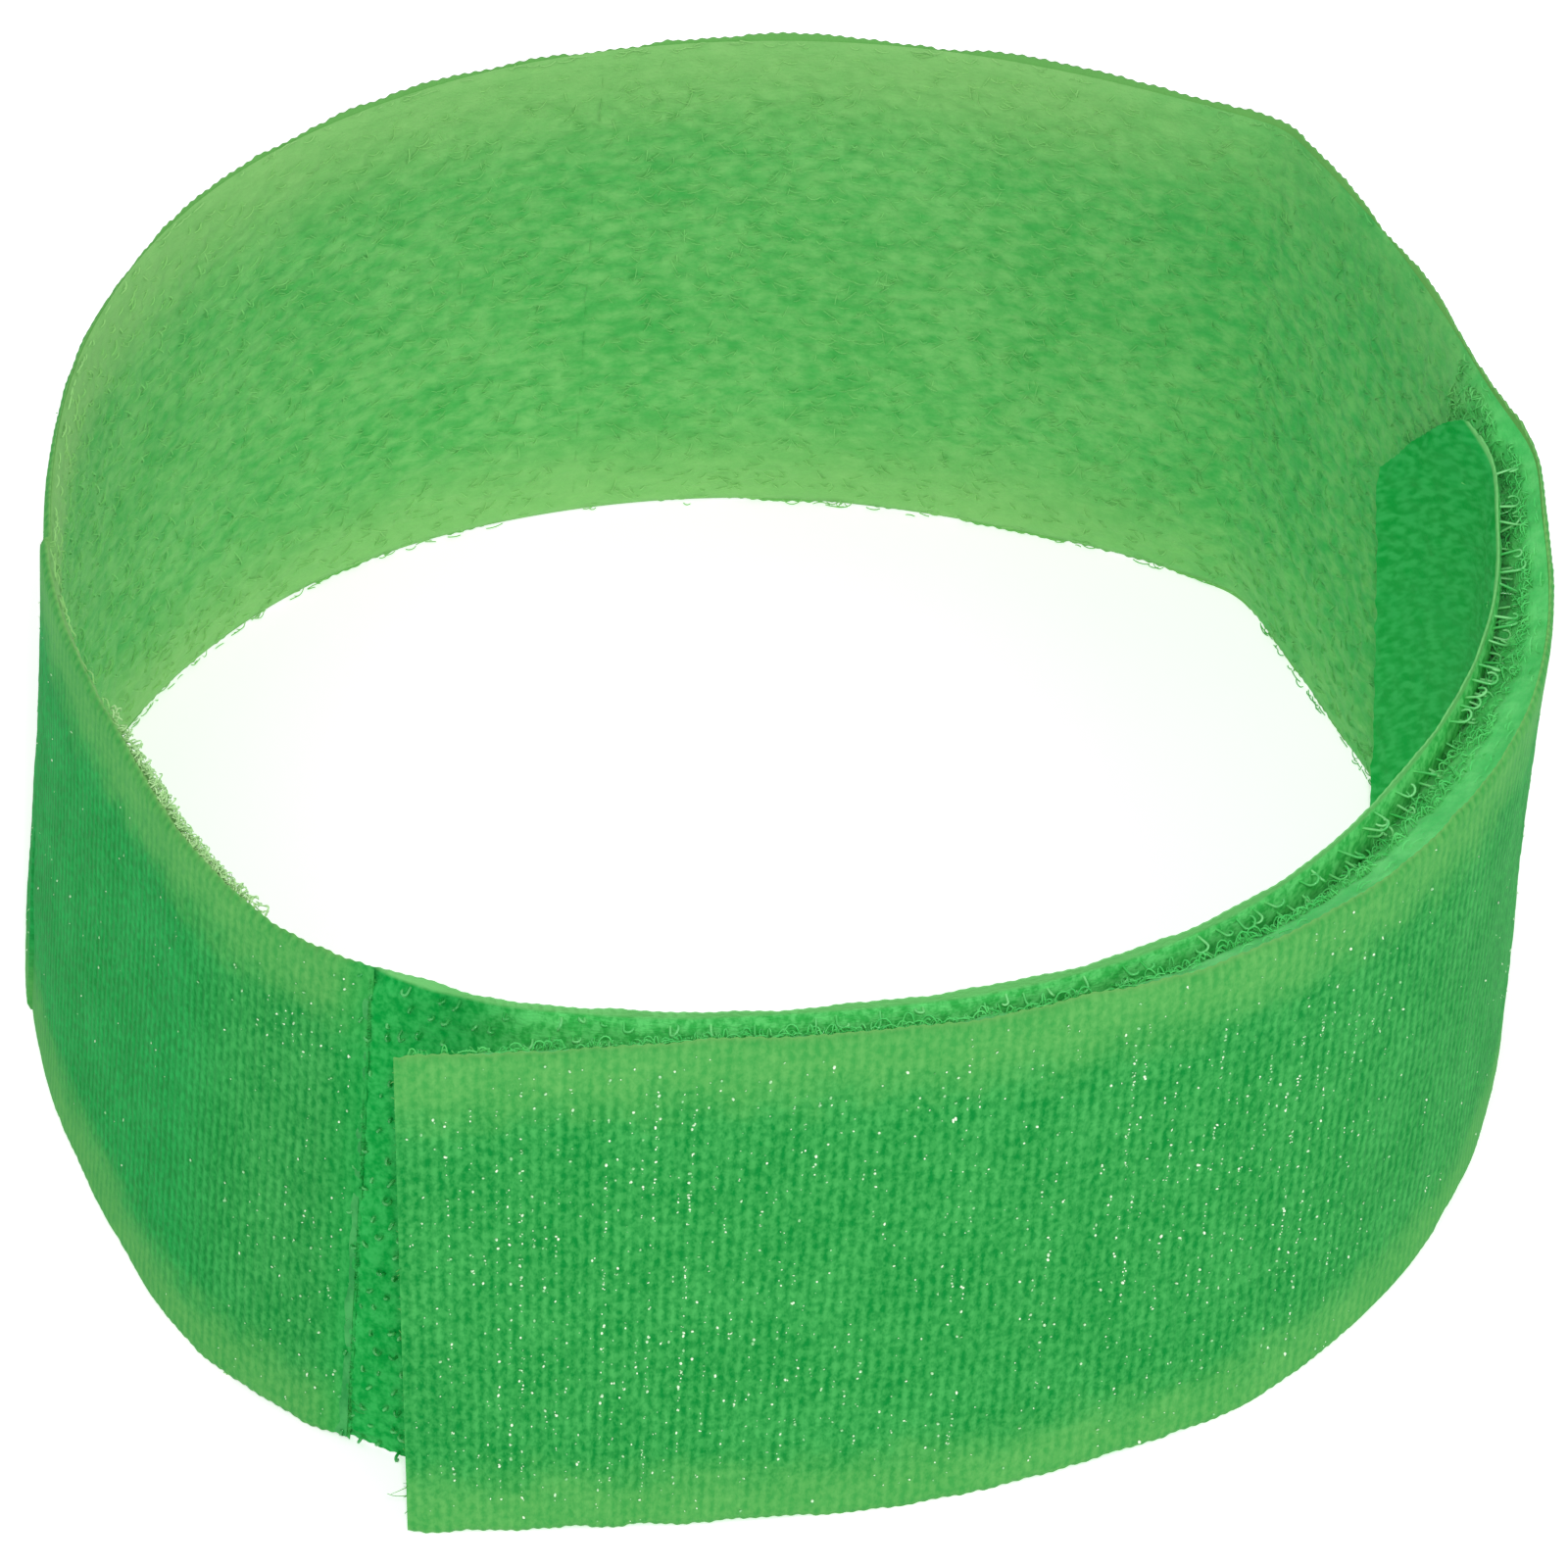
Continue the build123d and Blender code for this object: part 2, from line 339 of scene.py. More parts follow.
def tubes(paths, across, radii, sides):
    """Round strands along (count, steps, 3) paths, each flat, with across normal to it."""
    count, steps, _ = paths.shape
    along = np.gradient(paths, axis=1)
    along /= np.linalg.norm(along, axis=2, keepdims=True) + 1e-12
    across = across[:, None, :] / np.linalg.norm(across, axis=1)[:, None, None]
    third = np.cross(across, along)
    angles = 2 * np.pi * np.arange(sides) / sides
    ring = (
        across[:, :, None, :] * np.cos(angles)[None, None, :, None]
        + third[:, :, None, :] * np.sin(angles)[None, None, :, None]
    )
    points = paths[:, :, None, :] + ring * radii[..., None, None]
    strand = np.arange(count)[:, None] * steps * sides
    faces = (strand[:, :, None] + ring_faces(steps, sides)[None]).reshape(-1, 4)
    caps = strand + np.arange(sides)[None, :]
    far_caps = caps + (steps - 1) * sides
    return points, [faces, caps[:, ::-1], far_caps]


def strand_piece(name, paths, across, radii, sides, places, material, slot, **options):
    """One piece of many round strands. places is s, z and right along their paths."""
    points, faces = tubes(paths, across, radii, sides)
    tape_mm = np.broadcast_to(np.stack(places, axis=-1)[:, :, None, :], points.shape)
    return new_piece(name, points, outward(points, faces), tape_mm, material, slot, **options)


def bend_with(piece, length):
    """Fold the transform of a piece of one length of loop tape into its mesh."""
    bodies, (bend_start, bend_end) = length[3:5]
    start = loop_route.points(bend_start, 0.0, WIDTH / 2)
    end = loop_route.points(bend_end, 0.0, WIDTH / 2)
    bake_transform(piece)


# ---------------------------------------------------------------- materials
def node_material(name, roughness, sheen=0.0, specular=0.35):
    """A material, its nodes, its shader and a source of the place on the tape, in millimetres."""
    material = bpy.data.materials.new(name)
    material.use_nodes = True
    tree = material.node_tree
    shader = tree.nodes["Principled BSDF"]
    shader.inputs["Roughness"].default_value = roughness
    shader.inputs["Sheen Weight"].default_value = sheen
    shader.inputs["Sheen Roughness"].default_value = 0.45
    shader.inputs["Specular IOR Level"].default_value = specular
    place = tree.nodes.new("ShaderNodeAttribute")
    place.attribute_name = "tape_mm"
    return material, tree, shader, place


def link(tree, source, target):
    tree.links.new(source, target)


def scaled(tree, place, scale):
    """The place on the tape, stretched by a factor on each axis."""
    mapping = tree.nodes.new("ShaderNodeMapping")
    mapping.inputs["Scale"].default_value = scale
    link(tree, place.outputs["Vector"], mapping.inputs["Vector"])
    return mapping.outputs["Vector"]


def turned(tree, place, degrees):
    """The place on the tape, turned in the plane of the tape."""
    mapping = tree.nodes.new("ShaderNodeMapping")
    mapping.inputs["Rotation"].default_value = (0.0, 0.0, math.radians(degrees))
    link(tree, place.outputs["Vector"], mapping.inputs["Vector"])
    return mapping


def noise_value(tree, place, scale, detail=3.0, rough=0.55):
    """Fractal noise over the tape: one cell is about 1 / scale millimetres."""
    texture = tree.nodes.new("ShaderNodeTexNoise")
    texture.inputs["Scale"].default_value = 1.0
    texture.inputs["Detail"].default_value = detail
    texture.inputs["Roughness"].default_value = rough
    link(tree, scaled(tree, place, scale), texture.inputs["Vector"])
    return texture.outputs["Fac"]


def ramp(tree, value, low, high, low_to=0.0, high_to=1.0, smooth=True):
    """A value that goes from low_to to high_to as another goes from low to high."""
    node = tree.nodes.new("ShaderNodeMapRange")
    node.interpolation_type = "SMOOTHSTEP" if smooth else "LINEAR"
    limits = {"From Min": low, "From Max": high, "To Min": low_to, "To Max": high_to}
    for socket, number in limits.items():
        node.inputs[socket].default_value = number
    link(tree, value, node.inputs["Value"])
    return node.outputs["Result"]


def maths(tree, operation, first, second=None):
    node = tree.nodes.new("ShaderNodeMath")
    node.operation = operation
    for socket, value in zip(node.inputs, (first, second)):
        if value is None:
            continue
        if isinstance(value, (int, float)):
            socket.default_value = value
        else:
            link(tree, value, socket)
    return node.outputs["Value"]


def mix(tree, factor, first, second):
    """A colour between two, each a colour or a socket."""
    node = tree.nodes.new("ShaderNodeMix")
    node.data_type = "RGBA"
    link(tree, factor, node.inputs["Factor"])
    for socket, value in ((node.inputs[6], first), (node.inputs[7], second)):
        if isinstance(value, tuple):
            socket.default_value = (*value, 1.0)
        else:
            link(tree, value, socket)
    return node.outputs[2]


def bump(tree, shader, height, strength, distance_mm):
    node = tree.nodes.new("ShaderNodeBump")
    node.inputs["Strength"].default_value = strength
    node.inputs["Distance"].default_value = distance_mm * MM
    link(tree, height, node.inputs["Height"])
    link(tree, node.outputs["Normal"], shader.inputs["Normal"])


def place_parts(tree, place):
    """The place on the tape, split: X along it, Y up it, Z into it."""
    node = tree.nodes.new("ShaderNodeSeparateXYZ")
    link(tree, place.outputs["Vector"], node.inputs["Vector"])
    return node


def distance_from_middle(tree, parts):
    """Millimetres up or down from the middle line of a tape."""
    return maths(tree, "ABSOLUTE", maths(tree, "SUBTRACT", parts.outputs["Y"], WIDTH / 2))


def margin(tree, place, parts):
    """1 in the selvedges, 0 over the field between them, with a soft, ragged change."""
    ragged = noise_value(tree, place, (0.5, 0.5, 1.0), detail=4.0, rough=0.7)
    shift = ramp(tree, ragged, 0.3, 0.7, -0.9, 0.9, smooth=False)
    from_middle = maths(tree, "ADD", distance_from_middle(tree, parts), shift)
    edge = WIDTH / 2 - SELVEDGE
    return ramp(tree, from_middle, edge - 1.9, edge + 1.4)


def near_edges(tree, parts):
    """1 along both edges of a tape, 0 over its middle."""
    from_middle = distance_from_middle(tree, parts)
    return ramp(tree, from_middle, WIDTH / 2 - 6.0, WIDTH / 2 - 2.0)


def webbing_material():
    """Coated, ribbed outer webbing of the loop tape, with plain paler selvedges, a pale inner
    face, and a darker, fused end at the lap."""
    material, tree, shader, place = node_material("ribbed_webbing", 0.72, specular=0.07)
    parts = place_parts(tree, place)
    selvedge = margin(tree, place, parts)
    # Partly the weave's own tone, partly painted shade and highlight: the rib term below darkens
    # the grooves and lightens the crests.
    turn = maths(tree, "MULTIPLY", parts.outputs["X"], 2 * math.pi / RIB_PITCH)
    rib = ramp(tree, maths(tree, "COSINE", turn), -1.0, 1.0, smooth=False)
    dashes = noise_value(tree, place, (1.7 / RIB_PITCH, 2.3, 1.0), detail=2.0, rough=0.65)
    mottle = noise_value(tree, place, (0.35, 0.3, 1.0), detail=4.0)
    light = ramp(tree, dashes, 0.34, 0.66, 0.0, 0.6)
    light = maths(tree, "ADD", light, maths(tree, "MULTIPLY", rib, 0.34))
    light = maths(tree, "ADD", light, ramp(tree, mottle, 0.35, 0.7, -0.12, 0.12))
    # Painted shade: a deeper green over the left-hand wall, which turns from the light, fading out
    # at the lap and along the back.
    left_wall_shade = ramp(tree, parts.outputs["X"], 4.0, 12.0)
    left_wall_shade = maths(tree, "MULTIPLY", left_wall_shade, ramp(tree, parts.outputs["X"], 40.0, 60.0, 1.0, 0.0))
    face_tone = mix(tree, left_wall_shade, (0.060, 0.390, 0.092), (0.022, 0.385, 0.085))
    ground = mix(tree, light, (0.000, 0.215, 0.030), face_tone)
    margins = mix(tree, light, (0.045, 0.320, 0.062), (0.115, 0.410, 0.100))
    face = mix(tree, selvedge, ground, margins)
    lap_end = mix(tree, light, (0.000, 0.290, 0.040), (0.035, 0.430, 0.092))
    face = mix(tree, ramp(tree, parts.outputs["X"], -0.5, 1.6, 0.65, 0.0), face, lap_end)
    inside = ramp(tree, parts.outputs["Z"], 0.1, 0.25)
    inside = maths(tree, "MULTIPLY", inside, ramp(tree, parts.outputs["X"], 0.0, 0.8))
    link(tree, mix(tree, inside, face, (0.17, 0.46, 0.12)), shader.inputs["Base Color"])
    link(tree, ramp(tree, dashes, 0.3, 0.7, 0.6, 0.85), shader.inputs["Roughness"])
    fibres = noise_value(tree, place, (9.0, 3.0, 9.0), detail=2.0)
    bump(tree, shader, fibres, 0.5, 0.06)
    return material


def pile_material(name, deep, raised, rim, sheen):
    """Brushed yarn loops: soft mottling along the tape, paler towards both edges, flattened to a
    darker green where the tongue presses on them, and a brighter green painted at the tail's root,
    where the hooks hold them, as painted light in that shaded gap."""
    material, tree, shader, place = node_material(name, 0.9, sheen=sheen, specular=0.1)
    parts = place_parts(tree, place)
    paler = ramp(tree, distance_from_middle(tree, parts), WIDTH / 2 - 6.5, WIDTH / 2 - 0.8)
    streaks = noise_value(tree, place, (1.0, 1.8, 1.0), detail=4.0, rough=0.6)
    clumps = noise_value(tree, place, (0.16, 0.2, 1.0), detail=3.0)
    tufts = maths(tree, "ADD", maths(tree, "MULTIPLY", clumps, 0.4), streaks)
    base = mix(tree, ramp(tree, tufts, 0.4, 1.0), deep, raised)
    base = mix(tree, maths(tree, "MULTIPLY", paler, 0.7), base, rim)
    pressed = ramp(tree, parts.outputs["X"], ROOT_HINGE - 34.0, ROOT_HINGE - 12.0)
    flat = mix(tree, ramp(tree, tufts, 0.5, 0.95), *PRESSED_PILE)
    base = mix(tree, maths(tree, "MULTIPLY", pressed, 0.75), base, flat)
    # Painted light: a brighter green at the tail's root, where the hooks hold the pile, lifts the
    # shade of the gap.
    caught_gap_light = ramp(tree, parts.outputs["X"], ROOT_HINGE - 5.0, ROOT_HINGE + 3.0)
    base = mix(tree, caught_gap_light, base, mix(tree, ramp(tree, tufts, 0.5, 0.95), *GAP_LIT_PILE))
    link(tree, base, shader.inputs["Base Color"])
    link(tree, ramp(tree, streaks, 0.3, 0.7, 0.8, 0.95), shader.inputs["Roughness"])
    fibres = noise_value(tree, place, (3.0, 8.0, 6.0), detail=4.0, rough=0.65)
    bump(tree, shader, fibres, 0.6, 0.12)
    return material


def hook_ground_material():
    """Woven ground of the hook tape: a puckered twill inside, and a mottled, rougher face among
    the hooks, painted brighter along its edges where the tail covers it, as painted light in the
    shaded gap behind the tail."""
    material, tree, shader, place = node_material("hook_tape_ground", 0.75, specular=0.05)
    twill = turned(tree, place, math.degrees(math.atan2(-TWILL[1], TWILL[0])))
    streaks = noise_value(tree, twill, (0.7, 3.6, 1.0), detail=1.5, rough=0.5)
    mottle = noise_value(tree, place, (0.25, 0.3, 1.0), detail=3.0)
    inner = mix(tree, ramp(tree, streaks, 0.34, 0.68), (0.000, 0.350, 0.046), (0.040, 0.475, 0.108))
    inner = mix(tree, ramp(tree, mottle, 0.4, 0.75, 0.0, 0.35), inner, (0.02, 0.42, 0.09))
    parts = place_parts(tree, place)
    lumps = noise_value(tree, place, (3.0, 2.4, 1.0), detail=2.0)
    open_face = mix(tree, ramp(tree, lumps, 0.3, 0.7), (0.000, 0.290, 0.040), (0.035, 0.430, 0.092))
    raised = ramp(tree, lumps, 0.35, 0.65)
    # Painted light: a brighter face among the hooks along both edges, behind the tail, lifts the
    # shade of the gap there.
    held_lit_face = mix(tree, raised, (0.050, 0.500, 0.095), (0.150, 0.720, 0.200))
    held_gap_light = ramp(tree, parts.outputs["X"], CRUSHED_END - 2.0, CRUSHED_END + 3.0)
    held_gap_light = maths(tree, "MULTIPLY", held_gap_light, near_edges(tree, parts))
    among_hooks = mix(tree, held_gap_light, open_face, held_lit_face)
    base = mix(tree, ramp(tree, parts.outputs["Z"], 0.15, 0.25), inner, among_hooks)
    rim = ramp(tree, parts.outputs["Y"], WIDTH - 0.42, WIDTH - 0.2)
    link(tree, mix(tree, rim, base, (0.17, 0.56, 0.17)), shader.inputs["Base Color"])
    link(tree, ramp(tree, streaks, 0.3, 0.7, 0.6, 0.8), shader.inputs["Roughness"])
    bump(tree, shader, noise_value(tree, place, (4.0, 11.0, 5.0), detail=2.0), 0.5, 0.08)
    return material


def monofilament_material():
    """Pale green nylon monofilament, smooth and shiny, duller where the hooks are crushed; the
    hooks along both edges, in the gap behind the tail, are painted lighter than in the middle, as
    painted light."""
    material, tree, shader, place = node_material("hook_monofilament", 0.2, specular=0.55)
    tone = noise_value(tree, place, (0.9, 1.1, 0.7), detail=1.0)
    parts = place_parts(tree, place)
    # Painted light and highlight: the hooks along both edges take lighter colours than those in the
    # middle, for light in the shaded gap and the glints on their curls.
    gap_lit_hooks = mix(tree, ramp(tree, tone, 0.38, 0.66), (0.07, 0.54, 0.12), (0.23, 0.74, 0.26))
    crushed = mix(tree, ramp(tree, tone, 0.35, 0.65), (0.01, 0.32, 0.05), (0.07, 0.48, 0.12))
    whole = ramp(tree, parts.outputs["X"], CRUSHED_END - 2.0, CRUSHED_END + 4.0)
    middle_hooks = mix(tree, ramp(tree, tone, 0.38, 0.66), (0.02, 0.38, 0.065), (0.13, 0.58, 0.17))
    gap_lit_hooks = mix(tree, near_edges(tree, parts), middle_hooks, gap_lit_hooks)
    link(tree, mix(tree, whole, crushed, gap_lit_hooks), shader.inputs["Base Color"])
    link(tree, ramp(tree, tone, 0.3, 0.7, 0.14, 0.32), shader.inputs["Roughness"])
    bump(tree, shader, noise_value(tree, place, (14.0, 14.0, 14.0), detail=1.0), 0.1, 0.02)
    return material


def speck_material():
    """Small drops of clear coating; their paler tones, up to near white, are painted glints."""
    material, tree, shader, place = node_material("coating_glint_specks", 0.12, specular=0.9)
    tone = noise_value(tree, place, (1.3, 1.3, 1.0), detail=1.0)
    # Painted highlight: the near-white end of this mix paints glints on the coating.
    link(
        tree, mix(tree, ramp(tree, tone, 0.4, 0.6), (0.22, 0.60, 0.24), (0.80, 0.97, 0.72)),
        shader.inputs["Base Color"],
    )
    link(tree, ramp(tree, tone, 0.3, 0.7, 0.06, 0.2), shader.inputs["Roughness"])
    bump(tree, shader, noise_value(tree, place, (12.0, 12.0, 12.0), detail=1.0), 0.15, 0.02)
    return material


def weld_material():
    """Fused nylon, darker and smoother than the weave around it."""
    material, tree, shader, place = node_material("fused_nylon", 0.5, specular=0.2)
    tone = noise_value(tree, place, (0.9, 0.9, 0.9), detail=3.0)
    link(
        tree, mix(tree, ramp(tree, tone, 0.35, 0.65), (0.002, 0.25, 0.04), (0.05, 0.38, 0.09)),
        shader.inputs["Base Color"],
    )
    link(tree, ramp(tree, tone, 0.3, 0.7, 0.4, 0.6), shader.inputs["Roughness"])
    bump(tree, shader, tone, 0.4, 0.12)
    return material


def floor_material():
    """Plain translucent white table with a barely visible grain, lit softly from below."""
    material = bpy.data.materials.new("pale_floor")
    material.use_nodes = True
    tree = material.node_tree
    shader = tree.nodes["Principled BSDF"]
    shader.inputs["Roughness"].default_value = 0.9
    shader.inputs["Specular IOR Level"].default_value = 0.1
    texture = tree.nodes.new("ShaderNodeTexNoise")
    texture.inputs["Scale"].default_value = 40.0
    link(
        tree, mix(tree, texture.outputs["Fac"], (0.90, 0.90, 0.895), (0.93, 0.93, 0.925)),
        shader.inputs["Base Color"],
    )
    shader.inputs["Emission Color"].default_value = (1.0, 1.0, 1.0, 1.0)
    shader.inputs["Emission Strength"].default_value = 0.42
    return material


ribbed_webbing = webbing_material()
PRESSED_PILE = ((0.03, 0.42, 0.085), (0.13, 0.52, 0.13))
# Painted light: brighter pile colours for the shaded gap at the tail's root.
GAP_LIT_PILE = ((0.07, 0.58, 0.13), (0.15, 0.72, 0.20))
brushed_pile = pile_material(
    "brushed_pile", (0.060, 0.420, 0.085), (0.200, 0.560, 0.165), (0.275, 0.570, 0.180), 0.10
)
# Painted light: the raised yarn takes a paler copy of the pile's colours, to cancel the shade that
# the thin loops cast and have on their own sides.
lit_raised_yarn = pile_material(
    "lit_raised_yarn", (0.150, 0.560, 0.150), (0.260, 0.660, 0.210), (0.340, 0.660, 0.220), 0.10
)
# The fringe is paler still: partly the pale tone of its loose ends, partly painted light that
# cancels the fringe's own shade.
lit_fringe_yarn = pile_material(
    "lit_fringe_yarn", (0.300, 0.680, 0.240), (0.460, 0.800, 0.360), (0.520, 0.820, 0.380), 0.10
)
hook_ground = hook_ground_material()
monofilament = monofilament_material()
speck = speck_material()
fused = weld_material()


# ---------------------------------------------------------------- loop tape
def edge_wave(s, seed):
    """How far a long edge of tape wanders from straight, in millimetres, at most about 0.4."""
    return (
        0.16 * noise(s / 5.0, 0.0, seed)
        + 0.10 * noise(s / 1.6, 5.0, seed)
        + 0.05 * noise(s / 0.6, 9.0, seed)
        + 0.035 * np.cos(2 * np.pi * s / RIB_PITCH)
    )


def loop_webbing(length):
    """One length of ribbed webbing: real ribs outside, plain inside, with scalloped edges."""
    name, low, high = length[:3]
    columns = int(round((high - low) / RIB_PITCH * RIB_SAMPLES)) + 1
    s = np.linspace(low, high, columns)
    bottom = np.maximum(0.0, 0.12 + edge_wave(s, 21))
    top = WIDTH + edge_wave(s, 22)
    share = np.linspace(0, 1, 76)[None, :]
    outer = bottom[:, None] + share * (top - bottom)[:, None]
    inner = bottom[:, None] + np.linspace(0, 1, 12)[None, :] * (top - bottom)[:, None]
    from_edge = np.minimum(outer - bottom[:, None], top[:, None] - outer)
    field = 0.35 + 0.65 * fade(from_edge, SELVEDGE - 1.2, SELVEDGE + 1.0)
    rib = 0.5 + 0.5 * np.cos(2 * np.pi * s / RIB_PITCH)[:, None]
    knots = 0.55 + 0.45 * noise(np.round(s / RIB_PITCH)[:, None] * 3.7, outer / 0.42, 31)
    swell = 0.04 * noise(s[:, None] / 3.5, outer / 3.5, 32)
    rounded = 0.17 * (1 - fade(from_edge, 0.0, 0.4))
    pressed = (0.22 * (1 - fade(s, -LAP_EXTRA, 1.4)))[:, None]
    dip = (0.15 * (1 - fade(s, -LAP_EXTRA, 1.6)))[:, None]
    outer_right = -(RIB_HEIGHT * rib * knots * field + swell) + rounded + pressed
    outer_right = np.minimum(outer_right, 0.2 + 0.14 * fade(from_edge, 0.0, 0.4)) + dip
    inner_edge = np.minimum(inner - bottom[:, None], top[:, None] - inner)
    inner_right = WEBBING - 0.17 * (1 - fade(inner_edge, 0.0, 0.4)) + dip
    points, faces, tape_mm = tape_solid(loop_route, s, outer, inner, outer_right, inner_right)
    tape_mm[:, :outer.shape[1], 2] = rounded
    piece = new_piece(
        f"loop_webbing_{name}", points, outward(points, faces), tape_mm, ribbed_webbing,
        "loop_tape_webbing", sharp=75,
    )
    bend_with(piece, length)
    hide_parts(*[f"{node}_webbing" for node in length[5]])


def gaps_behind_tail(stations):
    """Millimetres from the tail's webbing to the hook tape at each station along the tail."""
    s = np.linspace(0.0, hook_route.length, 900)
    x, y, heading = hook_route.plan(s)
    x, y = x + WEBBING * np.sin(heading), y - WEBBING * np.cos(heading)
    tail_x, tail_y, tail_heading = loop_route.plan(stations)
    tail_x = tail_x + WEBBING * np.sin(tail_heading)
    tail_y = tail_y - WEBBING * np.cos(tail_heading)
    away = np.hypot(x[None, :] - tail_x[:, None], y[None, :] - tail_y[:, None])
    return away.min(axis=1)


TAIL_STATIONS = np.arange(ROOT_HINGE - 4.0, LOOP_END, 1.0)
TAIL_GAPS = gaps_behind_tail(TAIL_STATIONS)


def pile_height(s, z):
    """Height of the brushed pile over the webbing, which dies away towards the edges and the lap.
    The hooks have drawn it up along the rim and the foot of the tail."""
    from_edge = np.minimum(z, WIDTH - z)
    cover = 0.35 + 0.65 * np.maximum(fade(from_edge, 0.2, 2.6), ruffled(s))
    cover = cover * fade(s, LAP_END - 0.2, LAP_END + 1.0) * fade(LOOP_END - s, 0.1, 0.9)
    tufts = (
        0.5 * noise(s / 0.8, z / 0.45, 41) + 0.45 * noise(s / 0.3, z / 0.2, 42)
        + 0.3 * noise(s / 3.5, z / 2.0, 43)
    )
    drawn = fade(from_edge, 0.1, 0.55) * (1 - fade(from_edge, 3.0, 5.5))
    drawn = drawn * fade(s, ROOT_HINGE - 5.0, ROOT_HINGE + 3.0) * fade(LOOP_END - s, -3.0, 7.0)
    reach = np.interp(s, TAIL_STATIONS, TAIL_GAPS) - PILE_CLEARANCE
    return cover * (PILE * 0.75 + 0.17 * tufts + drawn * (reach + 0.3 * tufts))


def loop_pile(length):
    """One length of brushed pile: a closed, tufted skin on the webbing's inner face."""
    name, low, high = length[:3]
    low = max(low, LAP_END)
    columns = int(round((high - low) / 0.15)) + 1
    s = np.linspace(low, high, columns)
    z_low, z_high = 0.22, WIDTH - 0.18
    rows = np.broadcast_to(np.linspace(z_low, z_high, 150)[None, :], (columns, 150))
    back_rows = np.broadcast_to(np.linspace(z_low, z_high, 6)[None, :], (columns, 6))
    edge = fade(np.minimum(rows - z_low, z_high - rows), 0.0, 0.45)
    front_right = WEBBING - 0.1 + edge * (0.1 + pile_height(s[:, None], rows))
    back_right = np.full(back_rows.shape, WEBBING - 0.16)
    points, faces, tape_mm = tape_solid(loop_route, s, rows, back_rows, front_right, back_right)
    piece = new_piece(
        f"loop_pile_{name}", points, outward(points, faces), tape_mm, brushed_pile,
        "loop_pile", sharp=80,
    )
    bend_with(piece, length)
    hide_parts(*[f"{node}_pile" for node in length[5]])


def ruffled(s):
    """1 beside the lap, where handling has ruffled the edges of the pile, and 0 elsewhere."""
    return fade(s, LAP_END - 4.0, LAP_END) * (1 - fade(s, LAP_END + 6.0, LAP_END + 13.0))


def rim_fringe(length, seed):
    """Ruffled ends of yarn along the rim and the foot of the left-hand wall."""
    random = np.random.default_rng(seed)
    count = 1100
    s0 = random.uniform(LAP_END - 3.0, LAP_END + 12.0, count)
    s0 = s0[random.uniform(0, 1, count) < ruffled(s0)]
    count = len(s0)
    at_rim = random.uniform(0, 1, count) < 0.7
    inset = random.uniform(0.0, 0.5, count)
    z0 = np.where(at_rim, WIDTH - inset, inset)
    upward = np.where(at_rim, 1.0, 0.0)
    lift = random.uniform(0.05, 0.34, count)
    past = random.uniform(-0.2, 0.24, count) * upward
    span = random.uniform(0.1, 0.45, count) * random.choice((-1.0, 1.0), count)
    t = np.linspace(0, 1, 5)[None, :]
    arch = np.sin(np.pi * 0.75 * t)
    s = s0[:, None] + (t - 0.5) * span[:, None]
    z = np.maximum(z0[:, None] + past[:, None] * arch, 0.03)
    depth = random.uniform(0.2, 0.6, count)
    right = depth[:, None] + lift[:, None] * arch
    paths = loop_route.points(s, right, z)
    across = np.cross(paths[:, 2] - paths[:, 0], np.array([0.3, 0.2, 1.0]) * MM)
    piece = strand_piece(
        "rim_fringe", paths, across, np.full(s.shape, 0.036 * MM), 4, (s, z, right),
        lit_fringe_yarn, "loop_pile",
    )
    bend_with(piece, length)


def yarn_places(random, low, high, per_mm2, per_mm):
    """Feet of yarn loops over the field of the pile, and more along both edges."""
    field = int((high - low) * (WIDTH - 1.6) * per_mm2)
    edge = int((high - low) * per_mm)
    s = np.concatenate([random.uniform(low, high, field), random.uniform(low, high, 2 * edge)])
    z = np.concatenate([
        random.uniform(0.8, WIDTH - 0.8, field),
        random.uniform(0.1, 0.5, edge), WIDTH - random.uniform(0.05, 0.45, edge),
    ])
    at_edge = np.concatenate([np.zeros(field), np.ones(2 * edge)])
    return s, z, at_edge


def yarn_loops(length, per_mm2, seed):
    """Thousands of fine yarn arches that stand out of the pile, lying mostly along the tape."""
    name, low, high = length[:3]
    low = max(low, LAP_END + 0.3)
    random = np.random.default_rng(seed)
    s0, z0, at_edge = yarn_places(random, low + 0.4, high - 0.4, per_mm2, 1.5)
    count = len(s0)
    angle = random.normal(0.0, 0.6, count)
    span = random.uniform(0.3, 0.9, count)
    lift = random.uniform(0.05, 0.2, count) * (1 - 0.5 * at_edge)
    past = at_edge * random.uniform(-0.1, 0.1, count)
    twist = random.uniform(-0.25, 0.25, count)
    t = np.linspace(0, 1, 6)[None, :]
    along = (t - 0.5) * span[:, None]
    arch = np.sin(np.pi * t) ** 0.8
    s = s0[:, None] + along * np.cos(angle)[:, None]
    z = z0[:, None] + along * (np.sin(angle) * (1 - 0.7 * at_edge))[:, None]
    z = np.maximum(z + (0.4 * twist + past)[:, None] * arch, 0.03)
    base = WEBBING + pile_height(s0, z0)[:, None] - 0.07
    right = base + lift[:, None] * arch
    paths = loop_route.points(s, right, z)
    across = np.cross(paths[:, -1] - paths[:, 0], loop_route.rightward(s0))
    piece = strand_piece(
        f"yarn_loops_{name}", paths, across, np.full(s.shape, 0.03 * MM), 3, (s, z, right),
        lit_raised_yarn, "loop_pile", smooth=False,
    )
    bend_with(piece, length)


